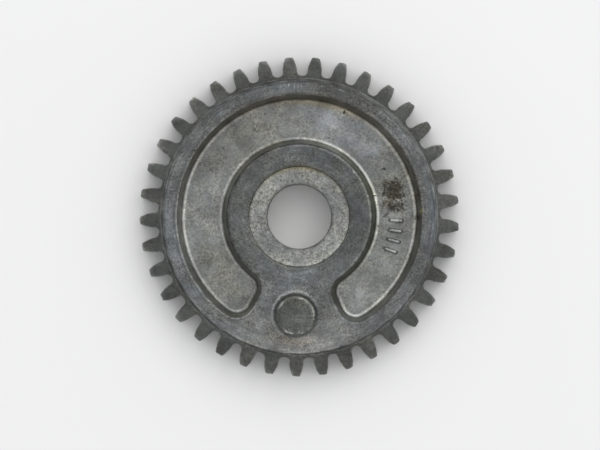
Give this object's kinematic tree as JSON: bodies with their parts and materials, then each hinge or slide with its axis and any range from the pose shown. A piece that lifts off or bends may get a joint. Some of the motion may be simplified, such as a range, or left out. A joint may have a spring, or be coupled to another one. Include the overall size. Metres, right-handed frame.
{
  "type": "oscillating gear",
  "caption": "Cast spur gear with a raised disc, a C-shaped pocket, a raised hub with a plain bore, and an eccentric crank pin.",
  "frame": {"origin": "on the bore's axis, in the plane of the flat underside that the teeth end at", "axes": "+Z along the bore, towards the hub's face and the crank pin; the crank pin stands towards -Y"},
  "size_m": [0.031, 0.031, 0.0077],
  "materials": {
    "zinc_casting": "bare die-cast zinc alloy, satin dark grey, lightly worn and stained"
  },
  "bodies": {
    "root": {"oscillating_gear": "zinc_casting"}
  },
  "joints": []
}
